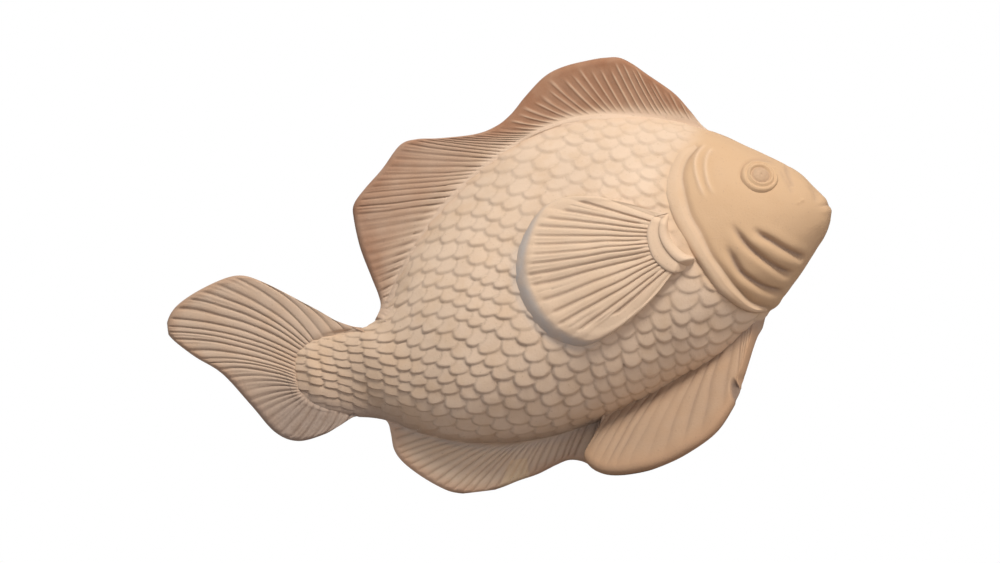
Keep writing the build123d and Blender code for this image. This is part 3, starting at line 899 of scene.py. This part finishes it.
PELVIC_KEYS = (
    (758, 322, 757, 326), (754, 327, 746, 361), (751, 330.5, 741.5, 377), (747, 334, 738.5, 392),
    (735, 343, 714, 430), (720, 353, 682, 453), (704, 364, 654, 466), (685, 376, 630, 472),
    (666, 387, 611, 473.5), (648, 397, 598, 471), (632, 405, 589, 465), (618, 412, 584, 456),
    (606, 420, 590, 446),
)
PELVIC_BASE = np.array([(0.135, 0.121), (0.384, 0.338)]) * FIGURE
PELVIC_OUT, PELVIC_FLARE, PELVIC_INSET = 12.0, math.radians(42.0), 7.0
PELVIC_GRID, PELVIC_BOW, PELVIC_RAYS = (250, 84), (0, -1.5, -3, -3, -2, 0), 17
NICK, BITE = place((737.5, 395.5)), place((745, 382))
BITE_SHIFT = np.array([-1.9, 0.2])
PELVIC_HALF, PELVIC_ROUND = 3.1, 3.6


def pelvic(side, seed):
    spots, edge, foot, s = ray_fan(PELVIC_KEYS, *PELVIC_GRID, PELVIC_BOW, PELVIC_INSET)
    run = PELVIC_BASE[1] - PELVIC_BASE[0]
    run /= np.linalg.norm(run)
    down = np.array([run[1], -run[0]])
    leaf_y = -PELVIC_OUT - np.tan(PELVIC_FLARE) * ((spots - PELVIC_BASE[0]) @ down)
    lean = -math.sin(PELVIC_FLARE)
    normal = np.array([down[0] * lean, -math.cos(PELVIC_FLARE), down[1] * lean])
    phase = s * PELVIC_RAYS + 0.25 * drift(s * 11, s * 0, seed)
    wander = phase[:, None] + 0.12 * drift(s[:, None] * 14 + 0 * edge, foot / 16, seed + 1)
    _, local, own = own_rays(wander, seed + 2)
    cut = between(local, 0.2) * smooth(0, 10.0, foot) * smooth(2.0, 14.0, edge) * (0.15 + 0.85 * own)
    rim = round_rise(edge / PELVIC_ROUND)
    half = PELVIC_HALF * rim + (0.16 * arch(local) - 0.4 * cut) * smooth(0.5, 4.0, edge)
    half = half + 3.0 * bell(np.clip(foot + 2.0, 0, None), 5.0) + 0.25 * rim * uneven(spots, 10, seed + 3)
    # The nick is a real chip; the dark inside it is painted shadow, and painted shade also lies in the
    # grooves between rays.
    from_nick = spots - NICK
    nick = smooth(3.6, 2.0, np.hypot(from_nick[..., 0] + 0.12 * from_nick[..., 1], 0.45 * from_nick[..., 1]))
    bite = bell(length_of(spots - BITE), 3.6)
    if side == "left":
        nick, bite = 0 * nick, 0 * bite
    spots = spots + bite[..., None] * BITE_SHIFT
    half = np.clip(half * (1 - 0.75 * nick), 0, None)
    half = half * (1 - 0.55 * smooth(0.78, 1.0, s)[:, None] * smooth(16.0, 2.0, edge))
    half[:, -1] = 0
    whole = smooth(0, SHORT_END, np.minimum(s, 1 - s))[:, None]
    half = half * whole + 0.3 * (1 - whole) * rim
    middle = np.stack([spots[..., 0], leaf_y, spots[..., 1]], -1)
    points = both_faces(middle + normal * half[..., None], middle - normal * half[..., None])
    points[..., 2] = np.maximum(points[..., 2], FLOOR_GAP)
    points[..., 1] = np.minimum(points[..., 1], -0.2)
    marks = on_both_faces({
        "hollow": np.clip(0.45 * cut + 1.4 * nick, 0, 1.4),
        "warm": 0.35 + 0.4 * smooth(14.0, 2.0, edge),
        "stain": 0.25 * smooth(10.0, 1.0, edge),
        "slip": 0.4 * bell(foot - 1.0, 4.5),
    })
    grid_piece(f"{side}_pelvic_leaf", points, side, f"{side}_pelvic_fin", shaded_leaf_clay, marks)


pelvic("right", 51)
pelvic("left", 63)


# Slabs on the flanks

FAN_ROOT = place([(668, 216), (661, 224), (658, 234), (659, 244), (663, 254), (669, 262), (677, 268)])
# Outer ends of the grooves between the rays of the fan.
FAN_GROOVES = place([
    (580, 205.7), (565, 213.8), (549, 221), (540.7, 229.4), (537.7, 238), (537, 246.4), (535.5, 256.3),
    (532.5, 265.6), (529.6, 276.7), (534, 286.3), (544.4, 302), (554.7, 313.7), (560.6, 324.8),
    (580, 329.3), (612.4, 313),
])
ROOT_STEPS, ROOT_FIRST, ROOT_LAST = 400, 90, 360
FAN_WALL = ((0, 2.6), (0.22, 3.4), (0.36, 7.0), (0.5, 8.5), (0.64, 8.5), (0.78, 6.5), (1.0, 5.0))
FAN_ROUND = ((0.2, 2.6), (0.4, 1.8), (0.7, 1.8), (0.8, 2.4))
ROOT_OUTER = place([
    (669, 212), (653, 216), (645, 229), (645, 243), (650, 258), (659, 268), (671, 274), (682, 271),
    (688, 267),
])
ROOT_FOLD = place([(669, 212), (660, 219), (657, 231), (660, 243), (668, 255), (678, 263), (688, 267)])
ROOT_BACK = place([(669, 212), (667, 222), (668, 234), (674, 245), (684, 254), (693, 258), (688, 267)])
FOLD_SHARE = 0.55
FAN_HIGH, FAN_SUNK, ROOT_SUNK, GILL_SUNK = 5.3, 0.8, 0.9, 0.8
EYE = place((759, 176))
EYE_RADIUS = 10.5
# Rings of the eye: share of its radius and the height there.
EYE_RINGS = (
    (0, 2.15), (0.2, 2.0), (0.36, 1.5), (0.43, 0.95), (0.47, 0.8), (0.53, 1.75), (0.59, 2.3),
    (0.66, 1.75), (0.71, 1.4), (0.8, 2.05), (0.88, 1.85), (0.95, 0.6), (1.0, -0.8),
)


def pad_piece(name, side, spots, height, node, material, marks):
    """Slab over the flank from a grid of side-view places and heights above the smooth flank."""
    ground, norms = on_flank(spots)
    points = on_side(ground + norms * height[..., None], side)
    index = numbered(*height.shape)
    border = list(index[:, 0]) + list(index[-1, 1:]) + list(index[-2::-1, -1]) + list(index[0, -2:0:-1])
    marks = {label: np.broadcast_to(value, height.shape).ravel() for label, value in marks.items()}
    make_piece(
        name, points, grid_faces(index), [border[::-1]], node, material, marks,
        flip=side == "left",
    )


def groove_hits(outline, starts):
    """Places on the outline, by number, where lines from the root through the groove ends come out."""
    hits = []
    for groove_end, start in zip(FAN_GROOVES, starts):
        way = (outline - start) / length_of(outline - start)[:, None]
        aim = groove_end - start
        off = way[:, 0] * aim[1] - way[:, 1] * aim[0]
        hits.append(int(np.argmin(np.abs(off) + 99.0 * (way @ aim < 0))))
    return hits


def pectoral(side, seed):
    count, steps = 300, 120
    outline = even(PECTORAL, count)
    s = np.linspace(0, 1, count)
    r = np.linspace(0.02, 1, steps) ** 0.85
    dense = even(FAN_ROOT, ROOT_STEPS)
    grooves = len(FAN_GROOVES)
    hits = groove_hits(outline, dense[np.linspace(ROOT_FIRST, ROOT_LAST, grooves).astype(int)])
    ends = s[hits]
    gaps = length_of(outline[hits] - FAN_GROOVES)
    middles = np.arange(grooves) + 0.5
    phase = np.interp(s, [0, *ends, 1], [-2, *middles, grooves + 1.5])
    phases = [-2, middles[0], middles[-1], grooves + 1.5]
    t = np.interp(phase, phases, [0, ROOT_FIRST, ROOT_LAST, ROOT_STEPS - 1])
    root = np.stack([np.interp(t, np.arange(ROOT_STEPS), dense[:, k]) for k in (0, 1)], 1)
    spots = root[:, None] + r[:, None] * (outline - root)[:, None]
    length = length_of(outline - root)[:, None]
    edge, foot = (1 - r) * length, r * length
    wall = ramp(s, FAN_WALL)[:, None]
    rise = 1 - (1 - np.clip(edge / wall, 0, 1)) ** ramp(s, FAN_ROUND)[:, None]
    wander = phase[:, None] + 0.1 * drift(s[:, None] * 12 + 0 * edge, foot / 13, seed + 1)
    which, local, own = own_rays(wander, seed + 2)
    odd = (which % 2 == 1) * (own > 0.3)
    stop = smooth(-1.5, 2.0, edge - np.interp(phase, middles, gaps)[:, None])
    within = window(s, ends[0] - 0.02, ends[0] - 0.01, ends[-1] + 0.01, ends[-1] + 0.02)
    stop = stop * within[:, None]
    cut = bell(local, 0.13) * smooth(7.0 * odd, 3.0 + 9.0 * odd, foot) * stop
    short = between(local, 0.08) * (own > 0.55) * stop * smooth(30.0, 12.0, edge - wall + 20 * (own - 0.6))
    rays = 0.35 * (1 - (2 * np.abs(local) - 1) ** 2) - 0.75 * cut - 0.35 * short - 0.2
    fold = (0.9 * bell(phase - 7.0, 1.3) - 0.7 * bell(phase - 9.4, 1.1))[:, None]
    height = (FAN_HIGH + 0.4 * bell(edge - wall - 3.0, 4.0)) * rise - FAN_SUNK
    height += rays * smooth(0, 4.0, edge - wall * 0.6)
    height += fold * smooth(2.0, 16.0, foot) * smooth(0, 6.0, edge - wall * 0.5)
    height += 0.2 * uneven(spots, 8, seed + 3) * rise
    lower = window(s, 0.24, 0.38, 0.68, 0.8)[:, None]
    # Painted shade in the grooves between the rays; the grey on the sloped wall, stronger along the lower
    # wall, is partly real slip and partly painted shade.
    marks = {
        "hollow": np.clip(0.6 * cut + 0.35 * short, 0, 1),
        "warm": 0.35,
        "slip": np.clip((1 - smooth(0.5, 1.05, edge / wall)) * (0.2 + 0.9 * lower), 0, 1),
    }
    pad_piece(f"{side}_pectoral_fan", side, spots, height, f"{side}_pectoral_fin", pad_clay, marks)


def band(outer, inner, count, steps):
    """Grid between two curves, with its shares of the way across and along."""
    a, b = even(outer, count), even(inner, count)
    r = np.linspace(0, 1, steps)
    return a[:, None] + (b - a)[:, None] * r[:, None], r[None], np.linspace(0, 1, count)[:, None]


def fin_root(side, seed):
    """Two nested folds that lap the root of the pectoral fin."""
    count, steps = 150, 60
    first, r, s = band(ROOT_OUTER, ROOT_FOLD, count, steps)
    second, _, _ = band(ROOT_FOLD, ROOT_BACK, count, steps)
    spots = np.concatenate([first[:, :-1], second], 1)
    r = np.concatenate([r[:, :-1] * FOLD_SHARE, FOLD_SHARE + (1 - FOLD_SHARE) * r], 1)
    ends = window(s, 0, 0.22, 0.82, 1)
    one = round_rise(r / 0.2) * (1 - 0.1 * smooth(0.3, 0.54, r) * (r < FOLD_SHARE))
    two = round_rise((r - FOLD_SHARE) / 0.16) * (r > FOLD_SHARE)
    back = round_fall((r - 0.72) / 0.28)
    height = 4.6 * smooth(0, 0.06, r) + 2.0 * one + 1.0 * two
    height = height * (0.25 + 0.75 * back) * (0.06 + 0.94 * ends) - ROOT_SUNK
    spots = spots - on_flank(spots)[1][..., [0, 2]] * height[..., None]
    height += 0.15 * uneven(spots, 6, seed)
    crease = bell(r - 0.53, 0.05) * ends
    # Painted shade in the crease between the folds and along the outer edge, which is also greyer there.
    marks = {
        "hollow": np.clip(0.25 * crease + 0.3 * bell(r, 0.06), 0, 1),
        "warm": 0.45,
        "slip": 0.25 * bell(r, 0.08),
    }
    pad_piece(f"{side}_fin_root_folds", side, spots, height, f"{side}_fin_root", pad_clay, marks)


def gill_rim(side, seed):
    """Raised band along the rear edge of the gill cover."""
    count, steps = 240, 40
    spots, r, s = band(GILL_OUTER, GILL_INNER, count, steps)
    ends = window(s, 0, 0.1, 0.93, 1)
    over = round_rise(r / np.interp(s, [0.2, 0.5], [0.6, 0.4]))
    fall = 1 - 0.8 * smooth(0.55, 1.0, r)
    height = (1.5 + 1.5 * smooth(0.15, 0.5, s)) * over * fall * (0.25 + 0.75 * ends) - GILL_SUNK
    height += 0.14 * uneven(spots, 9, seed)
    # Painted shade along both edges of the band, and a grey painted shadow where the upper band meets the
    # scales.
    marks = {
        "hollow": np.clip(0.35 * bell(r - 1.0, 0.12) + 0.3 * bell(r, 0.06), 0, 1),
        "warm": 0.55,
        "slip": 0.3 * bell(r, 0.15) * smooth(0.6, 0.1, s),
    }
    pad_piece(f"{side}_gill_band", side, spots, height, f"{side}_gill_rim", body_clay, marks)


def eye(side, seed):
    """Pressed-on button with two rings and a domed pupil."""
    count, steps = 128, 64
    (ground,), (norm,) = on_flank(EYE[None])
    right = np.cross(norm, (0, 0, 1))
    right /= np.linalg.norm(right)
    up = np.cross(right, norm)
    turn = np.linspace(0, 2 * math.pi, count, endpoint=False)
    p = np.linspace(0.01, 1, steps)
    height = ramp(p, EYE_RINGS)
    height[2:-2] = np.convolve(height, np.array([1, 4, 6, 4, 1]) / 16, "valid")
    wide = EYE_RADIUS * p * (1 + 0.05 * np.cos(2 * turn + 0.9))[:, None]
    rise = height + 0.1 * drift(turn[:, None] * 2 + 0 * wide, wide / 3, seed)
    across, upward = wide * np.cos(turn)[:, None], wide * np.sin(turn)[:, None]
    spread = right * across[..., None] + up * upward[..., None]
    points = ground + spread + norm * (rise - 0.018 * wide**2)[..., None]
    index = numbered(count, steps)
    quads = grid_faces(np.vstack([index, index[:1]]))
    loops = [list(index[::-1, 0]), list(index[:, -1])]
    # Painted shade in the ring groove, round the rim and over the pupil.
    hollow = 0.3 * bell(p - 0.45, 0.05) + 0.4 * bell(p - 0.98, 0.05) + 0.42 * smooth(0.48, 0.38, p)
    marks = {"hollow": np.broadcast_to(hollow, (count, steps)).ravel(), "warm": 0.9}
    make_piece(
        f"{side}_eye_button", on_side(points, side), quads, loops, f"{side}_eye", body_clay,
        marks, flip=side == "right",
    )


for flank, seed in (("right", 71), ("left", 83)):
    pectoral(flank, seed)
    fin_root(flank, seed + 1)
    gill_rim(flank, seed + 2)
    eye(flank, seed + 3)


# Floor, light and camera

WHITE = (1, 1, 1, 1)
FLOOR_REACH, FLOOR_DROP = 40.0, -0.0004
AIM = Vector((-0.0006, 0, 0.1031))
TO_CAMERA = Vector((0, -1, 0))
CAMERA_DISTANCE = 5.0


def shader(tree, kind, values):
    return with_inputs(tree.nodes.new(kind), values).outputs[0]


def seen_or_lit(tree, out_kind, lit, seen):
    """Shows one shader to the camera and lets the other light the figure."""
    path = tree.nodes.new("ShaderNodeLightPath")
    choose = tree.nodes.new("ShaderNodeMixShader")
    out = tree.nodes.new(out_kind)
    tree.links.new(path.outputs["Is Camera Ray"], choose.inputs["Fac"])
    tree.links.new(lit, choose.inputs[1])
    tree.links.new(seen, choose.inputs[2])
    tree.links.new(choose.outputs["Shader"], out.inputs["Surface"])


def pale_floor():
    mesh = bpy.data.meshes.new("floor")
    corners = np.array([(-1, -1, 0), (1, -1, 0), (1, 1, 0), (-1, 1, 0)]) * FLOOR_REACH
    mesh.from_pydata(corners, [], [(0, 1, 2, 3)])
    floor = new_object("floor", mesh)
    floor.location.z = FLOOR_DROP
    material = bpy.data.materials.new("pale_floor")
    tree = empty_tree(material)
    seen = shader(tree, "ShaderNodeEmission", {"Color": WHITE, "Strength": 1})
    lit = shader(tree, "ShaderNodeBsdfDiffuse", {"Color": (0.3, 0.27, 0.26, 1.0)})
    seen_or_lit(tree, "ShaderNodeOutputMaterial", lit, seen)
    mesh.materials.append(material)


def studio():
    world = bpy.data.worlds.new("studio")
    scene.world = world
    tree = empty_tree(world)
    room = shader(tree, "ShaderNodeBackground", {"Color": (0.8, 0.77, 0.84, 1.0), "Strength": 0.42})
    white = shader(tree, "ShaderNodeBackground", {"Color": WHITE, "Strength": 1})
    seen_or_lit(tree, "ShaderNodeOutputWorld", room, white)


def softbox(name, at, aim, size, watts, colour):
    """Round soft light; its places and size are in metres."""
    lamp = bpy.data.lights.new(name, "AREA")
    lamp.shape = "DISK"
    lamp.size = size
    lamp.energy = watts
    lamp.color = colour
    stand = new_object(name, lamp)
    stand.location = at
    stand.rotation_euler = (Vector(aim) - Vector(at)).to_track_quat("-Z", "Y").to_euler()


def side_camera():
    """Long lens square to the right flank, rolled as the picture is."""
    lens = bpy.data.cameras.new("camera")
    lens.sensor_width = 36.0
    lens.lens = 360.0
    lens.clip_start, lens.clip_end = 0.05, 200.0
    camera = new_object("camera", lens)
    scene.camera = camera
    camera.location = AIM + TO_CAMERA * CAMERA_DISTANCE
    camera.rotation_mode = "QUATERNION"
    upright = (-TO_CAMERA).to_track_quat("-Z", "Y")
    camera.rotation_quaternion = upright @ Matrix.Rotation(-ROLL, 4, "Z").to_quaternion()


pale_floor()
studio()
softbox("key", (0.45, -0.95, 1.45), (0, 0, 0.1), 0.55, 30.0, (1.0, 0.94, 0.86))
softbox("fill", (0.0, -1.8, 0.4), (0, 0, 0.1), 1.2, 2.4, (0.95, 0.92, 1.0))
softbox("left", (-1.5, -0.8, 0.5), (-0.05, 0, 0.1), 0.9, 3.2, (0.7, 0.9, 1.0))
softbox("side", (1.5, -0.9, 0.06), (0.08, 0, 0.1), 0.8, 10.0, (1.0, 0.93, 0.85))
softbox("rear", (-0.5, 1.5, 1.2), (0, 0, 0.1), 1.0, 13.0, (1.0, 0.96, 0.92))
side_camera()
scene.view_settings.view_transform = "Standard"
